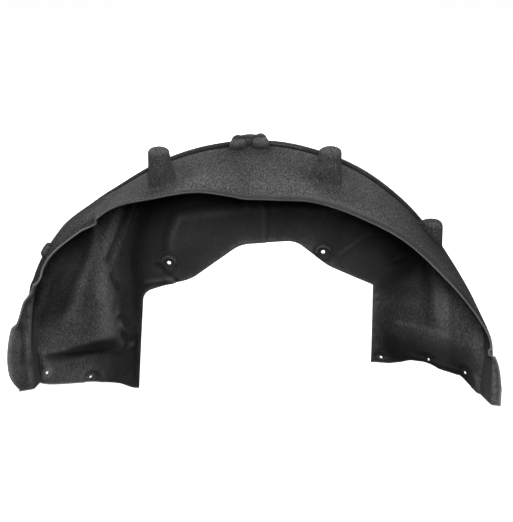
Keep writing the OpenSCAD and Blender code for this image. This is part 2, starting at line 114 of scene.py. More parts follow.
# %% [markdown]
# These are the wandering lines. The lip is the outer edge, the flange is the narrow rolled strip outside it,
# the shoulder is the first soft bend of the roof, the ridge is its far edge, the crease is where a leg
# turns back into the wall, and the corner is the hollow at the foot of the wall. The flange's rows say
# how far its edge lies outside the lip and in front of it. A row of roundings gives the length of the
# bend at the lip, shoulder, ridge, crease and corner, and a row of a foot gives a depth and how far
# the foot reaches down there.
# %% The lines of the shell
lip_line = [
    [0, 8, 34], [8, 12, 33], [15, 16, 29], [23, 20, 18], [30, 23, 6], [37, 28, 1], [46, 21, 0],
    [50.2, 12, 0], [50.8, 19, 0], [54, 18, 0], [65, -5, 0], [75, -20, 0], [83, -38, 0],
    [88, -46, 0], [94, -45, 0], [105, -35, 0], [118, -31, 0], [130, -22, 0], [142, -16, 1],
    [152, -6, 4], [160, 5, 15], [167, 14, 24], [172, 12, 29], [180, 14, 36],
]
flange_line = [
    [0, 6, 3], [2, 17, 4], [4, 23, 4], [8, 26, 3], [15, 23, 3], [17, 12, 4], [23, 8, 4],
    [26, 3, 2], [34, -1, 2], [46, -2, 2], [75, -2, 2], [88, -4, 2], [105, -7, 3],
    [140, -8, 3], [155, -5, 2], [168.4, -2, 2], [169.2, -8, 2], [170.3, -8, 2], [171, 5, 3],
    [180, 16, 4],
]
shoulder_line = [
    [0, -12, 42], [8, -6, 40], [15, 2, 38], [23, 14, 32], [30, 26, 30], [37, 30, 35], [46, 26, 40],
    [49.9, 22, 40], [51.4, 15, 40], [55, 12, 40], [65, -3, 40], [75, -13, 40], [88, -34, 40],
    [94, -33, 40], [105, -28, 40], [118, -26, 40], [130, -21, 40], [142, -16, 40], [152, -6, 40],
    [160, 6, 42], [167, 14, 46], [172, 12, 50], [180, 8, 54],
]
ridge_line = [
    [0, -20, 142], [8, -10, 140], [15, 8, 128], [23, 26, 106], [30, 30, 88], [37, 27, 58], [46, 14, 26],
    [55, 3, 0], [65, 2, 0], [94, 2, 0], [105, -1, 0], [118, -4, 0], [130, -8, 0], [142, -9, 0],
    [150, -7, 12], [156, -1, 42], [161, 6, 76], [167, 12, 104], [172, 8, 122], [180, 0, 138],
]
crease_line = [
    [0, -146, 95], [8, -142, 92], [15, -138, 87], [23, -125, 81], [30, -108, 73], [37, -82, 63],
    [46, -55, 41], [55, -22, 20], [65, -10, 13], [75, -8, 11], [118, -12, 11], [130, -17, 11],
    [142, -26, 15], [150, -36, 22], [156, -58, 52], [161, -73, 77], [167, -84, 89],
    [172, -90, 97], [180, -94, 105],
]
corner_line = [
    [0, -196, 12], [8, -194, 10], [15, -187, 7], [23, -172, 3], [30, -157, 1], [37, -132, 0], [46, -104, 0],
    [55, -82, 0], [65, -62, 0], [83, -45, 0], [105, -45, 0], [118, -50, 0], [130, -62, 0],
    [142, -86, 0], [150, -106, 0], [156, -144, 5], [161, -166, 8], [167, -180, 10],
    [172, -186, 11], [180, -190, 12],
]
round_line = [
    [0, 3, 5, 24, 10, 16], [20, 3, 8, 26, 12, 18], [45, 3, 20, 24, 20, 20], [60, 3, 20, 14, 12, 25],
    [120, 3, 20, 14, 12, 25], [140, 3, 20, 18, 12, 30], [152, 3, 14, 24, 30, 40], [180, 3, 26, 40, 40, 45],
]
left_foot = [[-130, 3], [-60, 4], [-40, 16], [11, 35], [55, 58], [115, 96], [140, 100]]
right_foot = [
    [-130, 35], [-46, 35], [-30, 22], [-15, 11], [10, 9],
    [32, 5], [55, 9], [80, 25], [105, 36], [140, 38],
]
print("rows in the lip line and in the roundings:", len(lip_line), len(round_line))

# %% [markdown]
# At one sweep angle the section has nine corners, and each inner corner is rounded by a short curve.
# Working on all the sweep angles at once with arrays is far faster than a loop in plain Python.
# Along its far side the roof swells to a crest, dips into a groove and climbs a steep rim to the ridge.
# From the front that shows as a bright line with a dark band behind it, so both corners are needed.
# The rim has a height and a width, the groove a depth and a width, all in millimetres.
# %% One section, for many sweep angles at once
RIM_H = 7.0
RIM_W = 5.0
GROOVE_D = 4.0
GROOVE_W = 8.0
RIM_ROUND = 3.0
FOOT_LEAN = 5.0


def section_corners(w):
    """The nine corners at the sweep angles w, as radius and depth."""
    def at(line, base_y, sign):
        return np.stack([ARCH_R + curve(line, 1, w), base_y + sign * curve(line, 2, w)], -1)

    lip = at(lip_line, -LIP_Y, 1)
    edge = lip + np.stack([curve(flange_line, 1, w), -curve(flange_line, 2, w)], -1)
    shoulder = at(shoulder_line, -LIP_Y, 1)
    ridge = at(ridge_line, WALL_Y - RIDGE_Y, -1)
    crease = at(crease_line, WALL_Y, -1)
    corner = at(corner_line, WALL_Y, -1)
    lean = FOOT_LEAN * (1 - fade(w, 0, 20) + fade(w, 165, 180))
    wall = np.stack([np.full_like(lean, WALL_END), WALL_Y - lean], -1)
    span = np.linalg.norm(ridge - shoulder, axis=-1, keepdims=True)
    grown = fade(w, 40, 56) * (1 - fade(w, 138, 150))

    def roof(from_ridge, drop):
        level = shoulder + (ridge - shoulder) * (1 - from_ridge / span)
        return level - np.stack([drop * grown, 0 * grown], -1)

    crest = roof(RIM_W + GROOVE_W, RIM_H)
    rim = roof(RIM_W, RIM_H + GROOVE_D)
    return np.stack([edge, lip, shoulder, crest, rim, ridge, crease, corner, wall], 1)


def section_roundings(w):
    c = [curve(round_line, k, w) for k in range(1, 6)]
    small = 0 * c[0] + RIM_ROUND
    return np.stack([0 * c[0], c[0], c[1], small, small, c[2], c[3], c[4], 0 * c[0]], 1)


def sections(w, straight, bend):
    """The points of a whole section: straight steps between the bends, and steps in each bend."""
    p, r = section_corners(w), section_roundings(w)
    n = p.shape[1]
    gap = np.linalg.norm(np.diff(p, axis=1), axis=-1)
    away = np.diff(p, axis=1) / gap[..., None]
    before, after = p.copy(), p.copy()
    for i in range(1, n - 1):
        reach = np.minimum(r[:, i], 0.45 * np.minimum(gap[:, i - 1], gap[:, i]))[:, None]
        before[:, i] = p[:, i] - away[:, i - 1] * reach
        after[:, i] = p[:, i] + away[:, i] * reach
    out = [p[:, 0]]
    for i in range(1, n):
        for k in range(1, straight[i] + 1):
            out.append(after[:, i - 1] + (before[:, i] - after[:, i - 1]) * k / straight[i])
        for k in range(1, bend[i] + 1):
            s = k / bend[i]
            out.append((1 - s) ** 2 * before[:, i] + 2 * s * (1 - s) * p[:, i] + s * s * after[:, i])
    return np.stack(out, 1)


STRAIGHT = [0, 2, 6, 18, 3, 3, 26, 9, 30]
BEND = [0, 2, 4, 3, 3, 4, 6, 8, 0]
crown = sections(np.array([90.0]), STRAIGHT, BEND)
print("points in a section:", crown.shape[1])

# %% [markdown]
# The sections are swept round the wheel's axle, and at each foot they go straight down to the foot's edge.
# That gives a grid of points in the middle of the felt. The grid is fine, about 4 mm a step, because
# the pressed creases and ledges are moved into it afterwards.
# %% The grid of the felt's middle surface
STATIONS = 280
FOOT_ROWS = 18
sweep = np.linspace(0, 180, STATIONS + 1)
cut = sections(sweep, STRAIGHT, BEND)
angle = np.radians(sweep)[:, None]
arch = np.stack([-cut[..., 0] * np.cos(angle), cut[..., 1], cut[..., 0] * np.sin(angle)], -1)


def foot(base, table):
    down = curve(table, 1, base[:, 1])
    steps = np.arange(1, FOOT_ROWS + 1)[:, None] / FOOT_ROWS
    out = np.repeat(base[None], FOOT_ROWS, 0)
    out[..., 2] = -steps * down[None]
    return out


grid = np.concatenate([foot(arch[0], left_foot)[::-1], arch, foot(arch[-1], right_foot)])
print("grid of rows and points:", grid.shape[:2])


def facing(g):
    """The direction in which the grid faces, at each of its points."""
    along = np.gradient(g, axis=0)
    across = np.gradient(g, axis=1)
    n = np.cross(along, across)
    return n / np.linalg.norm(n, axis=-1, keepdims=True)


# %% [markdown]
# The mould presses creases, ledges and a recess into the legs and the wall. They could be painted as
# dark and light lines, but then they would stay the same when the light moves. So each one moves
# the grid a few millimetres, towards the wheel or away from it, with a soft profile like thick felt has.
# A fold is written as points (x, z) along it, its height towards the wheel, and its width.
# %% Creases, ledges and folds
def distance_to_line(x, z, points):
    best = np.full(x.shape, 1e9)
    for (ax, az), (bx, bz) in zip(points[:-1], points[1:]):
        length = (bx - ax) ** 2 + (bz - az) ** 2
        s = np.clip(((x - ax) * (bx - ax) + (z - az) * (bz - az)) / length, 0, 1)
        best = np.minimum(best, np.hypot(x - ax - s * (bx - ax), z - az - s * (bz - az)))
    return best


def folded(x, z, folds):
    d = 0
    for points, height, width in folds:
        d = d + height * np.exp(-(distance_to_line(x, z, points) / width) ** 2)
    return d


left_folds = [
    ([(-258, 305), (-277, 256), (-298, 211)], -5, 4.5),  # the wrinkle beside the wall, its upper part
    ([(-283, 300), (-309, 230), (-312, 150)], 4, 16),  # the broad soft swell along the wrinkle
    ([(-293, 180), (-288, 162), (-283, 145)], -4.5, 4.5),  # the wrinkle's lower part
    ([(-291, 128), (-299, 102)], -1.5, 5),  # a shallow dent under it
    ([(-302, 104), (-286, 97)], 1.8, 3),  # a small ledge and the dent below it
    ([(-288, 90), (-282, 84)], -3.5, 5),
    ([(-289, 76), (-272, 48)], 5, 4),  # the short ridge at the end of the bulge
    ([(-285, 48), (-268, 30)], -2, 5),  # a dent and a bump beside the small round disc
    ([(-279, 26), (-276, 25)], 2.5, 5),
    ([(-432, 52), (-424, 15)], -5, 5),  # the folds of the flap
    ([(-447, 135), (-453, 55)], -3, 6),
    ([(-434, 120), (-437, 70)], 1.5, 6),
    ([(-428, 180), (-431, 150)], -5, 8),
]
right_folds = [
    ([(290, 63), (313, 67), (345, 68), (368, 67), (384, 68)], 2, 3.5),  # the ridge under the recess
    ([(284, 178), (300, 188)], -3, 4),  # a small crease and its upper edge
    ([(285, 186), (298, 195)], 2, 4),
    ([(452, 46), (454, 36), (459, 12), (463, -6)], 2.5, 4.5),  # the fold of the flap
    ([(447, 57), (452, 55)], -4, 3),  # the nick at the flap's upper end
    ([(434, 6), (440, -28)], 2.5, 3.5),  # two short ridges near the tip
    ([(424, -4), (425, -18)], 2.5, 3),
]
wall_folds = [
    ([(17, 296), (17, 225)], 1.2, 2.5),  # the fine edge in the middle of the wall
    ([(171, 202), (201, 226), (231, 246)], 1.6, 4),  # the valley's rim, on the right
    ([(-202, 175), (-163, 141)], -3.5, 5),  # the crease under the left clip hole
    ([(-226, 139), (-172, 147)], 3, 5),  # the ledge under that
]
print("folds:", len(left_folds), "left,", len(right_folds), "right,", len(wall_folds), "in the wall")

# %% [markdown]
# Some forms are more than a fold. Over the left foot a bulge swells out with a sharp lower edge, so it is
# written as three profiles across the leg: where its edge begins, where the edge ends, and how far it
# stands out. In the right leg a recess is pressed, with one sharp side. Round four of the foot holes
# the felt is pressed back in a pocket. `hole_pockets` gives each hole's place and the pocket's reach,
# and 0 stands for no pocket.
# %% The bulge, the recess, the wall's panel and the pockets
DISC = (-262, 12)
DISC_H = 2.5
POCKET_D = 3
bulge_across = [-430, -413, -389, -361, -333, -318, -304, -288, -275]
bulge_low = [43, 43, 40, 34, 26, 22, 18, 8, 0]
bulge_top = [50, 51, 52, 58, 64, 66, 62, 36, 12]
bulge_out = [0, 2, 8, 16, 22, 26, 25, 14, 0]
BULGE_FADE = 170
hole_pockets = [(-414, 10, 0), (-334, -23, 13), (258, -24, 11), (344, 5, 13), (413, 0, 14)]


def left_of_panel(x, z):
    side = np.interp(z, [93, 136, 179, 221, 260], [-394, -367, -352, -331, -322])
    return (1 - fade(x, side - 10, side + 6)) * fade(z, 90, 130) * (1 - fade(z, 285, 330))


def left_leg_relief(x, z):
    d = folded(x, z, left_folds)
    d += DISC_H * (1 - fade(np.hypot(x - DISC[0], z - DISC[1]), 6, 9))
    d -= 5 * left_of_panel(x, z)
    low, top = np.interp(x, bulge_across, bulge_low), np.interp(x, bulge_across, bulge_top)
    bulge = np.interp(x, bulge_across, bulge_out)
    return d + bulge * fade(z, low, top) * (1 - fade(z, top, top + BULGE_FADE))


def right_leg_relief(x, z):
    edge = np.interp(z, [60, 90, 128, 169, 215], [352, 355, 353, 347, 330])
    deep = np.interp(z, [58, 92, 120, 150, 215, 250], [0, 6, 8, 6, 2, 0])
    d = folded(x, z, right_folds)
    d -= deep * fade(x, 255, 335) * (1 - fade(x, edge, edge + 9))
    return d - 10 * fade(x, 250, 290) * (1 - fade(x, 390, 430)) * (1 - fade(z, -30, 66))


def wall_relief(x, z):
    top = np.interp(x, [-187, -176, -161, -94, -19, 60, 200], [209, 252, 288, 299, 310, 312, 300])
    d = 5 * fade(x, -192, -172) * (1 - fade(x, 180, 300)) * (1 - fade(z, top - 10, top + 4))
    d += 1.6 * fade(x, -120, 10) * (1 - fade(x, 14, 19))
    return d + folded(x, z, wall_folds)


def pocket_relief(x, z):
    d = 0 * x
    for hole_x, hole_z, reach in hole_pockets:
        if reach:
            away = np.where(z > hole_z, np.hypot(x - hole_x, z - hole_z), np.abs(x - hole_x))
            d -= POCKET_D * (1 - fade(away, reach - 1.5, reach + 2))
    return d


normal = facing(grid)
x, y, z = grid[..., 0], grid[..., 1], grid[..., 2]
relief = np.where(x < -200, left_leg_relief(x, z), 0) + np.where(x > 235, right_leg_relief(x, z), 0)
relief += fade(z, 100, 140) * wall_relief(x, z) * fade(y, 112, 121) + pocket_relief(x, z)
relief *= fade(np.abs(normal[..., 1]), 0.15, 0.5)
grid = grid - normal * relief[..., None]
print("deepest and highest relief in mm:", round(float(relief.min()), 1), round(float(relief.max()), 1))

# %% [markdown]
# Felt has a thickness, so the grid becomes a closed skin: one sheet in front, one behind, and a strip
# round the edge. A Solidify modifier could do that too, but written out like this it is plain that the
# skin is closed, which the cuts below need. `mesh_object` turns millimetres from the wheel's centre
# into metres in the part's frame.
# %% From the grid to a felt shell
ORIGIN = np.array([179.0, -WALL_Y, -182.0])


def mesh_object(name, points, faces):
    """A mesh from points in millimetres round the wheel's centre, with all its faces turned outward."""
    mesh = bpy.data.meshes.new(name)
    mesh.from_pydata(((points + ORIGIN) / 1000).tolist(), [], faces)
    bm = bmesh.new()
    bm.from_mesh(mesh)
    bmesh.ops.recalc_face_normals(bm, faces=bm.faces)
    open_edges = sum(not e.is_manifold for e in bm.edges)
    if open_edges:
        print(name, "has open edges:", open_edges)
    bm.to_mesh(mesh)
    bm.free()
    obj = bpy.data.objects.new(name, mesh)
    bpy.context.scene.collection.objects.link(obj)
    return obj


def grid_faces(n, m, base, flip, closed=False):
    """The four-sided faces between n rows of m points. A closed grid joins each row's end to its start."""
    faces = []
    for i in range(n - 1):
        for j in range(m if closed else m - 1):
            a, b = base + i * m + j, base + i * m + (j + 1) % m
            quad = (a, b, b + m, a + m)
            faces.append(quad[::-1] if flip else quad)
    return faces


def felt_shell(g, thick):
    """Two sheets, one on each side of the grid, and a strip that closes the edge all the way round."""
    n, m = g.shape[:2]
    out = facing(g) * thick / 2
    points = np.concatenate([(g + out).reshape(-1, 3), (g - out).reshape(-1, 3)])
    faces = grid_faces(n, m, 0, True) + grid_faces(n, m, n * m, False)
    ring = (list(range(m - 1)) + [i * m + m - 1 for i in range(n - 1)]
            + [(n - 1) * m + j for j in range(m - 1, 0, -1)] + [i * m for i in range(n - 1, 0, -1)])
    for k, a in enumerate(ring):
        b = ring[(k + 1) % len(ring)]
        faces.append((a, b, b + n * m, a + n * m))
    return mesh_object("liner", points, faces)


liner = felt_shell(grid, FELT)
check = bmesh.new()
check.from_mesh(liner.data)
print("volume of the shell in litres:", round(check.calc_volume(signed=True) * 1000, 3))
check.free()

# %% [markdown]
# Posts, towers and rings are pressed out of the same felt, so each one is hollow from behind.
# A post could be one cone, but felt never leaves a sharp foot: it flares softly into the roof.
# So a post is drawn as rings that start on its flat top, round its edge, run down its side
# and end on the roof itself. For this the height of the roof is needed at any place. It is read from
# the sections: `roof_table` has one row for each sweep angle and one column for each millimetre of depth.
# %% The height of the roof
ROOF_COLUMNS = slice(4, sum(STRAIGHT[:6]) + sum(BEND[:5]) + 3)
depths = np.arange(-126.0, 96.0)
roof_table = np.stack([np.interp(depths, c[ROOF_COLUMNS, 1], c[ROOF_COLUMNS, 0]) for c in cut])


def roof_radius(w, y):
    a = np.clip(w * STATIONS / 180, 0, STATIONS - 1.001)
    b = np.clip(np.asarray(y, float) - depths[0], 0, len(depths) - 1.001)
    i, j = a.astype(int), b.astype(int)
    u, v = a - i, b - j
    t = roof_table
    return (t[i, j] * (1 - v) + t[i, j + 1] * v) * (1 - u) + (t[i + 1, j] * (1 - v) + t[i + 1, j + 1] * v) * u


def roof_height(x, y):
    """The sweep angle over x depends on the radius there, so a few rounds close in on both."""
    r = np.full(np.shape(x), ARCH_R)
    for _ in range(12):
        w = 90 + np.degrees(np.arcsin(np.clip(x / r, -1, 1)))
        r = np.maximum(np.abs(x) + 1, (r + roof_radius(w, y)) / 2)
    return r * np.sin(np.radians(w))


print("roof over the wheel's centre in mm:", round(float(roof_height(np.array(0.0), np.array(0.0))), 1))

# %% [markdown]
# A ring is [width, up, out]: how much of the post's width it has, how high it lies between the roof (0)
# and the top (1), and how far its width has moved from the top's (0) to the foot's (1). A fourth number,
# where there is one, sinks the ring below the roof. The skin ends in rings inside the felt, so that it
# joins the shell. The hollow is one thickness of felt smaller and reaches right through the shell.
# `under` is how far a foot lies below the middle of the felt: a skin's lies above it.
# %% Skins and hollows
AROUND = 60
SKIN_UNDER = -1.5
HOLLOW_UNDER = 1.6
SKIN_SINK = 1.6
LEAST_WIDTH = 0.2


def ring_body(rings, place):
    around = np.linspace(0, 2 * np.pi, AROUND, endpoint=False)
    points = np.concatenate([place(r, np.cos(around), np.sin(around)) for r in rings])
    n = len(rings)
    faces = grid_faces(n, AROUND, 0, False, closed=True)
    faces.append(tuple(range((n - 1) * AROUND, n * AROUND)))
    faces.append(tuple(range(AROUND - 1, -1, -1)))
    return points, faces


def ring_widths(ring, top_r, base_r, shrink):
    width, out = ring[0], ring[2]
    return [max(LEAST_WIDTH, width * (t + (b - t) * out - shrink)) for t, b in zip(top_r, base_r)]


def ring_sink(ring):
    return ring[3] if len(ring) > 3 else 0


def skin_and_hollow(name, rings, body, bottom_widths, reach):
    last = rings[-1]
    below = [[width] + last[1:] + [SKIN_SINK] for width in bottom_widths]
    skin = mesh_object(name, *ring_body(rings + below, body(0.0, SKIN_UNDER)))
    hollow = mesh_object(name + "_hollow", *ring_body(rings + [last + [reach]], body(FELT, HOLLOW_UNDER)))
    return skin, hollow


print("points in a ring:", AROUND)

# %% [markdown]
# The round top is equally high on every post, so its rings are written as [width, drop] with the drop in
# millimetres. The rings of the side share what is left of the height. A post leans: its top and
# its foot have their own places (x, y) and their own radii along x and y.
# %% Posts that flare into the roof
TOP_RINGS = [[0, 0], [0.3, 0.2], [0.52, 0.8], [0.68, 1.8], [0.82, 3.4], [0.92, 5.4], [0.98, 7.6]]
SIDE_RINGS = [
    [1, 1, 0.01], [1, 0.93, 0.04], [1, 0.84, 0.1], [1, 0.72, 0.2], [1, 0.6, 0.31], [1, 0.47, 0.44],
    [1, 0.34, 0.57], [1, 0.22, 0.71], [1, 0.13, 0.84], [1, 0.065, 1.0], [1, 0.027, 1.18],
    [1, 0.006, 1.36], [1, 0, 1.5],
]
TOP_ROUND = 10.0


def post_rings(height):
    top = [[width, 1 - drop / height, 0] for width, drop in TOP_RINGS]
    return top + [[width, up * (1 - TOP_ROUND / height), out] for width, up, out in SIDE_RINGS]


def post_body(top, top_r, base, base_r, height, shrink, under):
    top_z = roof_height(np.array(top[0]), np.array(top[1])) + height - shrink

    def place(ring, c, s):
        up, out = ring[1:3]
        rx, ry = ring_widths(ring, top_r, base_r, shrink)
        x = top[0] + (base[0] - top[0]) * out + rx * c
        y = top[1] + (base[1] - top[1]) * out + ry * s
        z = up * top_z + (1 - up) * (roof_height(x, y) - under) - ring_sink(ring)
        return np.stack([x, y, z], -1)

    return place


def make_post(name, top, top_r, base, base_r, height):
    def body(shrink, under):
        return post_body(top, top_r, base, base_r, height, shrink, under)

    return skin_and_hollow(name, post_rings(height), body, (1, 0.6, 0.2), 14)


posts = [
    make_post("left_post", (-182, -47), (20, 20), (-175, -52), (27, 27), 69),
    make_post("right_post", (139, -23), (21, 20), (129, -27), (31, 27), 64),
    make_post("rear_post", (349, 67), (21, 18), (334, 62), (36, 25), 37),
]
print("posts:", [round(s.dimensions.z * 1000) for s, h in posts], "mm from foot to top")

# %% [markdown]
# The clip towers are low domes. On the flank of the arch a dome stands square to the roof, so its rings
# are laid out along the sweep and the depth, and lifted along the radius. The two domes on the crown
# share a saddle of felt between them, which is one more, longer and lower dome. Each dome's row gives
# its sweep angle, its depth, the radii of its top and its foot along sweep and depth, and its height.
# %% Domed clip towers
DOME_RINGS = [
    [0, 1, 0], [0.6, 1, 0], [1, 0.995, 0.05], [1, 0.97, 0.3], [1, 0.9, 0.52], [1, 0.78, 0.72], [1, 0.6, 0.87],
    [1, 0.4, 0.95], [1, 0.22, 1.0], [1, 0.1, 1.06], [1, 0.03, 1.14], [1, 0, 1.25],
]


def dome_body(sweep_at, y_at, top_r, base_r, height, shrink, under):
    def place(ring, c, s):
        rx, ry = ring_widths(ring, top_r, base_r, shrink)
        y = y_at + ry * s
        w = sweep_at + np.degrees(rx * c / ARCH_R)
        r = roof_radius(w, y) - under + ring[1] * (height - shrink + under) - ring_sink(ring)
        a = np.radians(w)
        return np.stack([-r * np.cos(a), y, r * np.sin(a)], -1)

    return place


def make_dome(name, sweep_at, y_at, top_r, base_r, height):
    def body(shrink, under):
        return dome_body(sweep_at, y_at, top_r, base_r, height, shrink, under)

    return skin_and_hollow(name, DOME_RINGS, body, (1, 0.6), 8)


def beside_crown(millimetres):
    return 90 + np.degrees(millimetres / ARCH_R)


towers = [
    make_dome("left_tower", beside_crown(-36), 80, (8, 8), (17, 16), 17),
    make_dome("right_tower", beside_crown(8), 80, (8, 8), (17, 16), 19),
    make_dome("tower_saddle", beside_crown(-14), 88, (16, 3), (24, 7), 16),
    make_dome("flank_tower", 32.4, -12, (7, 7), (15, 15), 13),
]
print("domes made:", len(towers))

# %% [markdown]
# Round each clip hole in the wall the mould raises a ring, high over the hole and fading out below it.
# It is finer than the wall's grid, so the wall gets a round window and a finer disc is set into it.
# The disc follows the wall's own relief, so its edge meets the wall without a step.
# Each hole's row is its place (x, z) and how far the ring leans, in radians.
# %% Rings round the wall's clip holes
RING_R = 21.0
WINDOW_R = 19.5
RING_SIDES = 96
RING_H = 8


def ring_height(radius, turn):
    over = 0.5 + 0.5 * np.cos(turn)
    top = RING_H * fade(radius, 9.5, 13.5) * (1 - fade(radius, 14.5, 19))
    return top * (0.12 + 0.88 * fade(over, 0.15, 0.75)) - (1 - fade(radius, 9, 12))


def make_ring(name, cx, cz, lean):
    radii = np.concatenate([[0.3, 3], np.arange(5, RING_R + 0.1, 0.8)])
    around = np.linspace(0, 2 * np.pi, RING_SIDES, endpoint=False)
    rr, tt = np.meshgrid(radii, around, indexing="ij")
    x, z = cx + rr * np.sin(tt), cz + rr * np.cos(tt)
    middle = WALL_Y - wall_relief(x, z) - ring_height(rr, tt - lean)
    n, m = rr.shape
    front = np.stack([x, middle - FELT / 2, z], -1).reshape(-1, 3)
    back = np.stack([x, middle + FELT / 2, z], -1).reshape(-1, 3)
    faces = grid_faces(n, m, 0, True, closed=True) + grid_faces(n, m, n * m, False, closed=True)
    for base, flip in ((0, False), (n * m, True)):
        cap = tuple(range(base, base + m))
        faces.append(cap[::-1] if flip else cap)
    for k in range(m):
        a, b = (n - 1) * m + k, (n - 1) * m + (k + 1) % m
        faces.append((a, b, b + n * m, a + n * m))
    return mesh_object(name, np.concatenate([front, back]), faces)


wall_holes = [(-179, 182, 0.0), (136, 206, -0.2)]
rings = [make_ring("wall_ring", *h) for h in wall_holes]
print("rings made:", len(rings))

# %% [markdown]
# The cutters are plain solids: round pins for the holes, a disc for each window, and a thick plate
# with the outline of the cut-out. The outline's corners (x, z, length of the rounding) are rounded by
# short curves. Each foot hole is drilled square to the felt: its row holds its centre and the direction
# of the drill. The drill is long, because the recess in the leg lies deeper than the hole's centre.
# %% Cutters for holes and the cut-out
PIN_SIDES = 48
PLATE_HALF = 170


def bar_faces(sides):
    ends = [tuple(range(sides - 1, -1, -1)), tuple(range(sides, 2 * sides))]
    return grid_faces(2, sides, 0, False, closed=True) + ends


def pin(name, centre, direction, radius, reach):
    around = np.linspace(0, 2 * np.pi, PIN_SIDES, endpoint=False)
    d = np.array(direction, float) / np.linalg.norm(direction)
    u = np.cross(d, [0, 0, 1.0] if abs(d[2]) < 0.9 else [1.0, 0, 0])
    u /= np.linalg.norm(u)
    v = np.cross(d, u)
    circle = radius * (np.cos(around)[:, None] * u + np.sin(around)[:, None] * v)
    points = np.concatenate([np.array(centre) + circle - reach * d, np.array(centre) + circle + reach * d])
    return mesh_object(name, points, bar_faces(PIN_SIDES))


cut_corners = [
    (-252, -160, 0), (-233, 118, 20), (-132, 149, 14), (-33, 223, 20),
    (79, 231, 20), (146, 177, 14), (240, 134, 3), (240, -160, 0),
]


def rounded_outline(corners):
    out = []
    c = [np.array(k[:2], float) for k in corners]
    for i, (x, z, r) in enumerate(corners):
        if r == 0:
            out.append(c[i])
            continue
        to_last, to_next = c[i - 1] - c[i], c[(i + 1) % len(c)] - c[i]
        a = c[i] + r * to_last / np.linalg.norm(to_last)
        b = c[i] + r * to_next / np.linalg.norm(to_next)
        for s in np.linspace(0, 1, 11):
            out.append((1 - s) ** 2 * a + 2 * s * (1 - s) * c[i] + s * s * b)
    return np.array(out)


outline = rounded_outline(cut_corners)
near = np.stack([outline[:, 0], 0 * outline[:, 0] - PLATE_HALF, outline[:, 1]], -1)
far = near + np.array([0, 2 * PLATE_HALF, 0])
plate = mesh_object("cut_out_plate", np.concatenate([near, far]), bar_faces(len(outline)))
windows = [pin("window", (cx, WALL_Y, cz), (0, 1, 0), WINDOW_R, 16) for cx, cz, _ in wall_holes]
foot_bores = [
    ((-414, -41.2, 10), (0.5335, -0.8409, 0.0907)), ((-334, 8.4, -23), (0.536, -0.8442, 0)),
    ((258, 104.1, -24), (-0.4127, -0.9109, 0)), ((344, 30.4, 5), (-0.657, -0.7384, 0.1521)),
    ((413, -22.8, 0), (-0.5702, -0.8121, 0.1237)),
]
WALL_BORE_R = 4
SMALL_BORE_R = 3
bores = [pin("wall_bore", (cx, WALL_Y, cz), (0, 1, 0), WALL_BORE_R, 20) for cx, cz, _ in wall_holes]
bores += [pin("foot_bore", centre, drill, SMALL_BORE_R, 28) for centre, drill in foot_bores]
screw_z = roof_height(np.array(139.0), np.array(-23.0)) + 60
bores.append(pin("post_bore", (145, -23, screw_z), (0, 0, 1), SMALL_BORE_R, 7))
print("points in the cut-out's outline:", len(outline))

# %% [markdown]
# Now the parts are added to the shell and the cutters are taken away, with the Boolean modifier.
# Its manifold solver is quick and exact on closed meshes like these. First all the skins are added,
# and then the hollows are taken out, so a post's wall is left standing between its skin and its hollow.
# %% Adding and cutting
def boolean(target, tools, operation):
    group = bpy.data.collections.new("tools")
    bpy.context.scene.collection.children.link(group)
    for t in tools:
        bpy.context.scene.collection.objects.unlink(t)
        group.objects.link(t)
        mod = target.modifiers.new("cut", "BOOLEAN")
        mod.operation = operation
        mod.solver = "MANIFOLD"
        mod.object = t
    bpy.context.view_layer.update()
    done = bpy.data.meshes.new_from_object(target.evaluated_get(bpy.context.evaluated_depsgraph_get()))
    target.modifiers.clear()
    target.data = done
    for t in tools:
        bpy.data.objects.remove(t)
    bpy.data.collections.remove(group)


boolean(liner, windows, "DIFFERENCE")
boolean(liner, rings + [s for s, h in posts + towers], "UNION")
boolean(liner, [h for s, h in posts + towers] + bores + [plate], "DIFFERENCE")
print("faces after the cuts:", len(liner.data.polygons))

# %% [markdown]
# The cuts leave a few crumbs, thinner than a hair, where two surfaces almost touch. They are brushed off:
# faces without an area are dissolved, and only the largest connected island of faces is kept.
# %% Brushing off crumbs
LEAST_EDGE = 2e-6


def islands_of(bm):
    """The connected groups of faces, the largest last."""
    unseen, islands = set(bm.faces), []
    while unseen:
        island = [unseen.pop()]
        for face in island:
            for other in {f for e in face.edges for f in e.link_faces} & unseen:
                unseen.remove(other)
                island.append(other)
        islands.append(island)
    return sorted(islands, key=len)


bm = bmesh.new()
bm.from_mesh(liner.data)
bmesh.ops.triangulate(bm, faces=bm.faces)
bmesh.ops.dissolve_degenerate(bm, dist=LEAST_EDGE, edges=bm.edges)
crumbs = islands_of(bm)[:-1]
bmesh.ops.delete(bm, geom=[face for crumb in crumbs for face in crumb], context="FACES")
bm.to_mesh(liner.data)
print("crumbs:", len(crumbs), "open edges:", sum(not e.is_manifold for e in bm.edges))
bm.free()
print("triangles:", sum(len(p.vertices) - 2 for p in liner.data.polygons))

# %% [markdown]
# Felt is soft, so every face is shaded smooth, and only the cut edges stay crisp. The cut edge of felt
# looks lighter than its face, because the knife opens the fibres, and it also carries a painted highlight,
# where the edge would catch the light. A number on each point says how near it is to such an edge, and
# the material reads that number later. Towards both ends of the lip the painted line is bright, and over
# the crown, where the lip is rolled, it is faint.
# `turn` is a point's sweep angle, and `store` keeps one number for each point of the mesh.
# %% Smooth faces and cut edges
SHARP = np.radians(42)
bm = bmesh.new()
bm.from_mesh(liner.data)
for f in bm.faces:
    f.smooth = True
for e in bm.edges:
    if len(e.link_faces) == 2 and e.calc_face_angle(0) > SHARP:
        e.smooth = False
bm.to_mesh(liner.data)
bm.free()

count = len(liner.data.vertices)


def read_points(name):
    values = np.empty(count * 3)
    liner.data.vertices.foreach_get(name, values)
    return values.reshape(-1, 3)


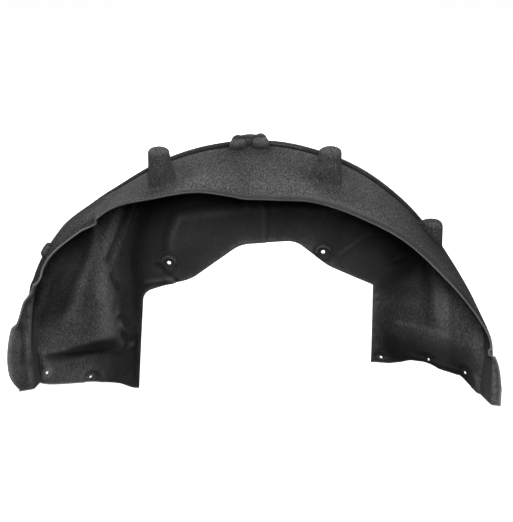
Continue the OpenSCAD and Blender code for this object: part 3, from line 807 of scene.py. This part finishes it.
def store(name, values):
    data = liner.data.attributes.new(name, "FLOAT", "POINT")
    data.data.foreach_set("value", np.asarray(values, np.float32))
    print(name, "from", round(float(values.min()), 2), "to", round(float(values.max()), 2))


place_of, outward = read_points("co"), read_points("normal")
px, py, pz = (place_of * 1000 - ORIGIN).T
turn = np.degrees(np.arctan2(np.maximum(pz, 0), -px))
rim_points = np.concatenate([grid[:, 0], grid[0], grid[-1]])
tree = KDTree(len(rim_points))
for i, q in enumerate((rim_points + ORIGIN) / 1000):
    tree.insert(q, i)
tree.balance()
from_rim = np.array([tree.find(v.co)[2] * 1000 for v in liner.data.vertices])
near_edge = 1 - fade(from_rim, 1.2, 4)
# A pale edge: partly the cut felt's own paler fibres, partly a painted highlight, strongest towards the ends
# of the lip.
pale_edge_and_highlight = near_edge * np.interp(turn, [0, 44, 54, 105, 125, 140, 180], [1, 1, 0.3, 0.3, 0.8, 1, 1])
print("points on a pale cut edge:", int((pale_edge_and_highlight > 0.5).sum()))

# %% [markdown]
# Each mark in the finish is a zone: a number for every point, 1 inside the zone, 0 outside and a soft
# step between. Many of the marks are painted light or painted shade. First come the large zones, told
# apart by the way a surface faces and by how far it is from the wheel's centre. Along the roof's far rim
# a band gets painted shade, for the dark band behind the crest. Above the roof stand the posts.
# %% Roof, legs, wall, posts and the shaded rim band
radius = np.hypot(px, np.maximum(pz, 0))
roof_there = roof_radius(turn, np.clip(py, -125, 94))
faces_out = (px * outward[:, 0] + pz * outward[:, 2]) > 0
sideways = np.abs(outward[:, 1])
on_roof = fade(sideways, 0.75, 0.4) * (radius > ARCH_R - 45) * (pz > 0) * faces_out
on_leg = fade(sideways, 0.3, 0.55) * (1 - fade(py, 112, 120)) * (radius < ARCH_R + np.where(px > 0, 20, -4))
behind = fade(outward[:, 1], 0.1, 0.5)
on_wall = fade(py, 108, 120)
from_crest = py - (WALL_Y - RIDGE_Y - curve(ridge_line, 2, turn)) + RIM_W
# Painted shade along the roof's far rim, behind the crest.
rim_band_shade = fade(from_crest, -0.55 * GROOVE_W, -1) * (1 - fade(from_crest, 13, 19)) * (radius > ARCH_R - 30)
rim_band_shade *= fade(turn, 44, 58) * (1 - fade(turn, 136, 148)) * (radius < roof_there + 4)
# The band just behind the lip over the crown gets painted shade and a finer grain.
near_lip = (1 - fade(py + LIP_Y - curve(lip_line, 2, turn), 2, 8)) * (radius > ARCH_R - 60)
near_lip *= fade(turn, 60, 75) * (1 - fade(turn, 160, 170))
on_post = fade(radius - roof_there, 4, 10) * (px > -260) * (py < 60 + 0.1 * px)
post_places = ((-182, -47), (139, -23))
near_post = sum(1 - fade(np.hypot(px - x, py - y), 34, 58) for x, y in post_places) * (pz > 300)
# The roof's flanks: in the tone they get painted shade, darker than the crown, and the drawn grain is
# stronger there.
steep = on_roof * (1.1 * (1 - fade(turn, 49.8, 51)) + 0.9 * fade(turn, 118, 140))
print("share on roof, legs and wall:", [round(float(v.mean()), 2) for v in (on_roof, on_leg, on_wall)])

# %% [markdown]
# Then come the small zones. The wall, the ends of the feet, the place under the bulge and a hollow in the
# left leg get painted shade, and their grain is smoother than on the hairy roof. Two panels in the legs get
# painted light, and a small round disc is made paler.
# Faces that look up get a little painted light, and faces that look down get painted shade.
# %% Painted shade, painted light and a paler disc
right_end_shade = (0.3 + 0.7 * fade(px, 255, 330)) * (px > 200) * (1 - fade(px, 410, 455)) * (1 - fade(pz, 5, 80))
left_end_shade = fade(px, -350, -280) * (1 - fade(pz, 5, 45)) * (px < -200)
left_hollow_shade = left_of_panel(px, pz) * (px < -300) * on_leg
under_bulge_shade = fade(px, -415, -330) * (1 - fade(px, -285, -272)) * fade(pz, 22, 34) * (1 - fade(pz, 52, 72))
pressed_and_shaded = np.maximum.reduce([0.27 * on_wall, right_end_shade, 0.6 * left_end_shade, under_bulge_shade, 0.28 * left_hollow_shade])
beside_tip = fade(px, 440, 452) * (pz < 60)
right_panel_light = fade(px, 415, 450) * np.maximum(on_leg, beside_tip) * (1 - fade(pz, 90, 150))
left_panel_light = (1 - fade(px, -350, -300)) * fade(px, -430, -415) * (1 - fade(pz, 25, 40))
flap_end = (1 - fade(px, -450, -438)) * (pz < 150)
pale_disc = 1 - fade(np.hypot(px - DISC[0], pz - DISC[1]), 6.5, 9)
looks_up = outward[:, 2]
top_light_and_under_shade = np.where(looks_up > 0, 0.35 * fade(looks_up, 0.35, 0.95), np.clip(looks_up / 0.5, -1, 0))
print("share that is pressed flat:", round(float((pressed_and_shaded > 0.5).mean()), 2))

# %% [markdown]
# Ridges of felt are made paler, partly as rubbed wear and partly as a painted highlight, and hollows get
# painted shade. How far a point stands above its neighbours says which it is. Cycles has a pointiness
# value for that, but it is lost when the model is exported, so the same thing is worked out here from the
# mesh: a few rounds of averaging find the fine ridges, and many rounds find the wide corners, which get
# painted shade as well.
# %% Paler ridges and painted shade in hollows
FINE_ROUNDS = 5
WIDE_ROUNDS = 110
SOFT_ROUNDS = 12
pairs = np.empty(len(liner.data.edges) * 2, dtype=np.int32)
liner.data.edges.foreach_get("vertices", pairs)
one_end, other_end = pairs.reshape(-1, 2).T
ends, starts = np.concatenate([one_end, other_end]), np.concatenate([other_end, one_end])
neighbours = np.bincount(ends, minlength=count)


def neighbour_mean(values, rounds=1):
    for _ in range(rounds):
        columns = values.reshape(count, -1).T
        total = [np.bincount(ends, weights=c[starts], minlength=count) for c in columns]
        values = (np.array(total) / neighbours).T.reshape(values.shape)
    return values


settled = neighbour_mean(place_of, FINE_ROUNDS)
stands_out = neighbour_mean(((place_of - settled) * outward).sum(1) * 1000)
wear_highlight_and_shade = np.clip(stands_out / 1.2, -1, 1) * fade(from_rim, 3, 12)
settled = neighbour_mean(settled, WIDE_ROUNDS)
lies_below = neighbour_mean(-((place_of - settled) * outward).sum(1) * 1000, SOFT_ROUNDS)
sunken = np.clip(lies_below / 5, -0.4, 1)
print("rubbed from", round(float(wear_highlight_and_shade.min()), 2), "to", round(float(wear_highlight_and_shade.max()), 2))

# %% [markdown]
# Four numbers for each point go to the material. `tone` makes the felt paler or darker, and much of it is
# painted light and painted shade: each zone adds its own weight, 0 leaves the felt as it is, and 0.5 makes
# it pale grey. Beside a post or in a pocket the painted shade in the hollows is weaker, because light gets
# in there. `hairy` is how strong the grain is, from 0.2 on flat felt to 1.5 on the roof. `on_roof` and
# `brushed` say where the grain is drawn out.
# %% The numbers that the felt reads
near_pocket = sum(1 - fade(np.hypot(px - x, pz - z), 14, 24) for x, z, reach in hole_pockets if reach)
painted_hollow_shade = (0.13 * np.minimum(wear_highlight_and_shade, 0) - 0.1 * sunken) * (1 - 0.8 * near_post) * (1 - 0.9 * near_pocket)
tone = 0.5 * pale_edge_and_highlight + 0.15 * np.maximum(wear_highlight_and_shade, 0) + painted_hollow_shade - 0.2 * rim_band_shade - 0.26 * pressed_and_shaded + 0.15 * top_light_and_under_shade
tone += 0.12 * right_panel_light + 0.1 * left_panel_light + 0.12 * pale_disc - 0.04 * flap_end
# The flanks of the roof and the band just behind the lip get painted shade here.
store("tone", tone - 0.02 * on_post - 0.17 * steep - 0.08 * near_lip * (1 - near_edge))
hairy = 0.75 + 0.7 * on_roof + 0.4 * on_post + 0.4 * behind - 0.3 * on_wall - 0.4 * pressed_and_shaded - 0.6 * near_lip
store("hairy", np.clip(hairy, 0.2, 1.5))
store("on_roof", on_roof * (1 - on_post) * (1 - near_lip) * (0.7 + 0.3 * steep))
store("brushed", on_leg * (1 - 0.7 * pressed_and_shaded))

# %% [markdown]
# Needled felt is a mat of short curled fibres, most of them black and some grey. Seen from two metres
# it is a dark cloth with a fine salt-and-pepper grain, soft cloudy patches and a dull sheen.
# An image of felt would tile and blur, so noise textures in the object's own space make it instead:
# one for single fibres, one for tufts, one drawn out along the height for the stroked look of the legs,
# one drawn out along the depth for the roof, where the felt slides into the mould, and one for the clouds.
# Each small function adds one kind of node: a noise, a change of range, a sum or product, and
# the reading of a number that is stored on the mesh.
# %% Small helpers for the felt
felt = bpy.data.materials.new("black_needled_felt")
felt.use_nodes = True
nodes, links = felt.node_tree.nodes, felt.node_tree.links
shader = nodes["Principled BSDF"]
place = nodes.new("ShaderNodeTexCoord")


def noise(scale, detail, stretch=(1, 1, 1)):
    mapping = nodes.new("ShaderNodeMapping")
    mapping.inputs["Scale"].default_value = stretch
    links.new(place.outputs["Object"], mapping.inputs["Vector"])
    tex = nodes.new("ShaderNodeTexNoise")
    tex.inputs["Scale"].default_value = scale
    tex.inputs["Detail"].default_value = detail
    tex.inputs["Roughness"].default_value = 0.6
    links.new(mapping.outputs["Vector"], tex.inputs["Vector"])
    return tex.outputs["Fac"]


def spread(value, low, high, to_low, to_high):
    node = nodes.new("ShaderNodeMapRange")
    node.inputs["From Min"].default_value = low
    node.inputs["From Max"].default_value = high
    node.inputs["To Min"].default_value = to_low
    node.inputs["To Max"].default_value = to_high
    links.new(value, node.inputs["Value"])
    return node.outputs["Result"]


def combine(a, b, how):
    node = nodes.new("ShaderNodeMath")
    node.operation = how
    links.new(a, node.inputs[0])
    links.new(b, node.inputs[1])
    return node.outputs["Value"]


def painted(name):
    node = nodes.new("ShaderNodeAttribute")
    node.attribute_name = name
    return node.outputs["Fac"]


def swing(value, by):
    """A noise lies mostly between 0.3 and 0.7. This stretches it to a swing round zero."""
    return spread(value, 0.3, 0.7, -by, by)


print("nodes before the noises:", len(nodes))

# %% [markdown]
# The grain is the sum of fibres, tufts and drawn-out strokes, made stronger where the felt is hairy.
# The shade adds the clouds and the stored tone to it. A scale of 520 gives grains of about 2 mm.
# %% The grain and the shade
fibres = noise(520, 2)
tufts = noise(240, 2)
strokes = noise(480, 1, (1, 1, 0.16))
drawn = noise(460, 2, (1, 0.28, 1))
clouds = noise(11, 3)
brushing = combine(swing(strokes, 0.2), painted("brushed"), "MULTIPLY")
drawn_out = combine(swing(drawn, 0.42), painted("on_roof"), "MULTIPLY")
grain = combine(swing(fibres, 0.36), swing(tufts, 0.1), "ADD")
grain = combine(combine(grain, brushing, "ADD"), drawn_out, "ADD")
grain = combine(grain, painted("hairy"), "MULTIPLY")
shade = combine(spread(grain, -1, 1, 0.0, 1.0), swing(clouds, 0.04), "ADD")
shade = combine(shade, painted("tone"), "ADD")
print("nodes so far:", len(nodes))

# %% [markdown]
# The shade picks a grey from a ramp, from nearly black to pale. Its steps widen, because the eye sees
# ratios: each grey is a multiple of the one before. The felt is rough, hardly shines and has a trace
# of sheen, and the grain drives a fine bump of about a millimetre, so that light and colour agree.
# %% The felt's colour and surface
ramp = nodes.new("ShaderNodeValToRGB")
stops = [(0.0, 0.004), (0.25, 0.013), (0.5, 0.045), (0.75, 0.135), (1.0, 0.30)]
for position, _ in stops[1:-1]:
    ramp.color_ramp.elements.new(position)
for stop, (position, grey) in zip(ramp.color_ramp.elements, stops):
    stop.position = position
    stop.color = (grey, grey * 1.01, grey * 1.03, 1)
links.new(shade, ramp.inputs["Fac"])
links.new(ramp.outputs["Color"], shader.inputs["Base Color"])
shader.inputs["Roughness"].default_value = 0.95
shader.inputs["Specular IOR Level"].default_value = 0.12
shader.inputs["Sheen Weight"].default_value = 0.06
shader.inputs["Sheen Roughness"].default_value = 0.5
bump = nodes.new("ShaderNodeBump")
bump.inputs["Strength"].default_value = 0.7
bump.inputs["Distance"].default_value = 0.0012
links.new(grain, bump.inputs["Height"])
links.new(bump.outputs["Normal"], shader.inputs["Normal"])
liner.data.materials.clear()
liner.data.materials.append(felt)
print("nodes in the felt:", len(nodes))

# %% [markdown]
# The liner is one piece of one finish. It stands for the plain solid of the imported part and rides on
# the part's only body.
# %% The liner takes the solid's place
liner.name = "felt_arch_liner"
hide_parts("arch_liner")
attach(liner, "root")

# %% [markdown]
# The photograph has a white ground. A white floor would throw light up under the roof, so the floor and
# the round backdrop behind it shine faintly themselves, and are hidden from bounced light. They belong
# to the picture and not to the part.
# %% Floor and backdrop
half = 14.0
BACKDROP_SIDES = 48
floor_z = float(min(v.co.z for v in liner.data.vertices)) - 0.0005
paper = bpy.data.materials.new("pale_paper")
paper.use_nodes = True
paper_shader = paper.node_tree.nodes["Principled BSDF"]
paper_shader.inputs["Base Color"].default_value = (0.9, 0.9, 0.9, 1)
paper_shader.inputs["Roughness"].default_value = 0.9
paper_shader.inputs["Specular IOR Level"].default_value = 0.0
paper_shader.inputs["Emission Color"].default_value = (1, 1, 1, 1)
paper_shader.inputs["Emission Strength"].default_value = 0.85


def paper_sheet(name, points, faces):
    mesh = bpy.data.meshes.new(name)
    mesh.from_pydata(points, [], faces)
    mesh.materials.append(paper)
    sheet = bpy.data.objects.new(name, mesh)
    bpy.context.scene.collection.objects.link(sheet)
    sheet.visible_diffuse = False
    sheet.visible_glossy = False
    return sheet


corners = [(-half, -half), (half, -half), (half, half), (-half, half)]
floor = paper_sheet("floor", [(x, y, floor_z) for x, y in corners], [(0, 1, 2, 3)])
turns = np.linspace(0, 2 * np.pi, BACKDROP_SIDES, endpoint=False)
backdrop_round = [(half * np.cos(a), half * np.sin(a)) for a in turns]
backdrop_points = [(x, y, z) for z in (floor_z, floor_z + half) for x, y in backdrop_round]
backdrop = paper_sheet("backdrop", backdrop_points, grid_faces(2, BACKDROP_SIDES, 0, True, closed=True))
backdrop.visible_shadow = False
print("floor at z =", round(floor_z, 4))

# %% [markdown]
# The sky is grey, dark near the ground and paler overhead, so that it leaves the inside of the arch dark.
# %% The sky
world = bpy.data.worlds.new("sky")
world.use_nodes = True
bpy.context.scene.world = world
sky, sky_links = world.node_tree.nodes, world.node_tree.links
back = sky["Background"]
direction = sky.new("ShaderNodeTexCoord")
split = sky.new("ShaderNodeSeparateXYZ")
sky_links.new(direction.outputs["Generated"], split.inputs["Vector"])
band = sky.new("ShaderNodeValToRGB")
greys = band.color_ramp.elements
middle = greys.new(0.35)
middle.color = (0.22, 0.22, 0.22, 1)
greys[0].color = (0.10, 0.10, 0.10, 1)
greys[-1].color = (1, 1, 1, 1)
sky_links.new(split.outputs["Z"], band.inputs["Fac"])
sky_links.new(band.outputs["Color"], back.inputs["Color"])
back.inputs["Strength"].default_value = 0.22
print("stops in the sky's ramp:", [round(e.position, 2) for e in greys])

# %% [markdown]
# In the photograph the wall turns from black to grey about 130 mm below the lip, which stands 255 mm
# in front of it. So the main light is low, 27 degrees up, and comes from the front. A soft light overhead
# makes the roof the brightest part. A large lamp behind and a weak one at each end show the back and
# the flanks. Each lamp has a place, a target, a diameter and a power in watts.
# %% The lamps
def area_lamp(name, where, target, size, power):
    data = bpy.data.lights.new(name, "AREA")
    data.shape = "DISK"
    data.size = size
    data.energy = power
    lamp = bpy.data.objects.new(name, data)
    bpy.context.scene.collection.objects.link(lamp)
    lamp.location = where
    lamp.rotation_euler = (Vector(target) - Vector(where)).to_track_quat("-Z", "Y").to_euler()


area_lamp("front_lamp", (0.18, -2.4, 1.25), (0.18, -0.1, 0.05), 0.75, 50)
area_lamp("top_lamp", (0.18, -0.35, 2.0), (0.18, -0.12, 0.1), 1.2, 5.3)
area_lamp("back_lamp", (0.18, 2.5, 1.0), (0.18, 0.0, 0.05), 1.4, 36)
area_lamp("left_lamp", (-2.3, 0.6, 0.7), (0.18, -0.1, 0.05), 1.4, 9)
area_lamp("right_lamp", (2.7, 0.6, 0.7), (0.18, -0.1, 0.05), 1.4, 9)
bpy.context.scene.view_settings.view_transform = "Standard"
print("lamps:", len(bpy.data.lights))
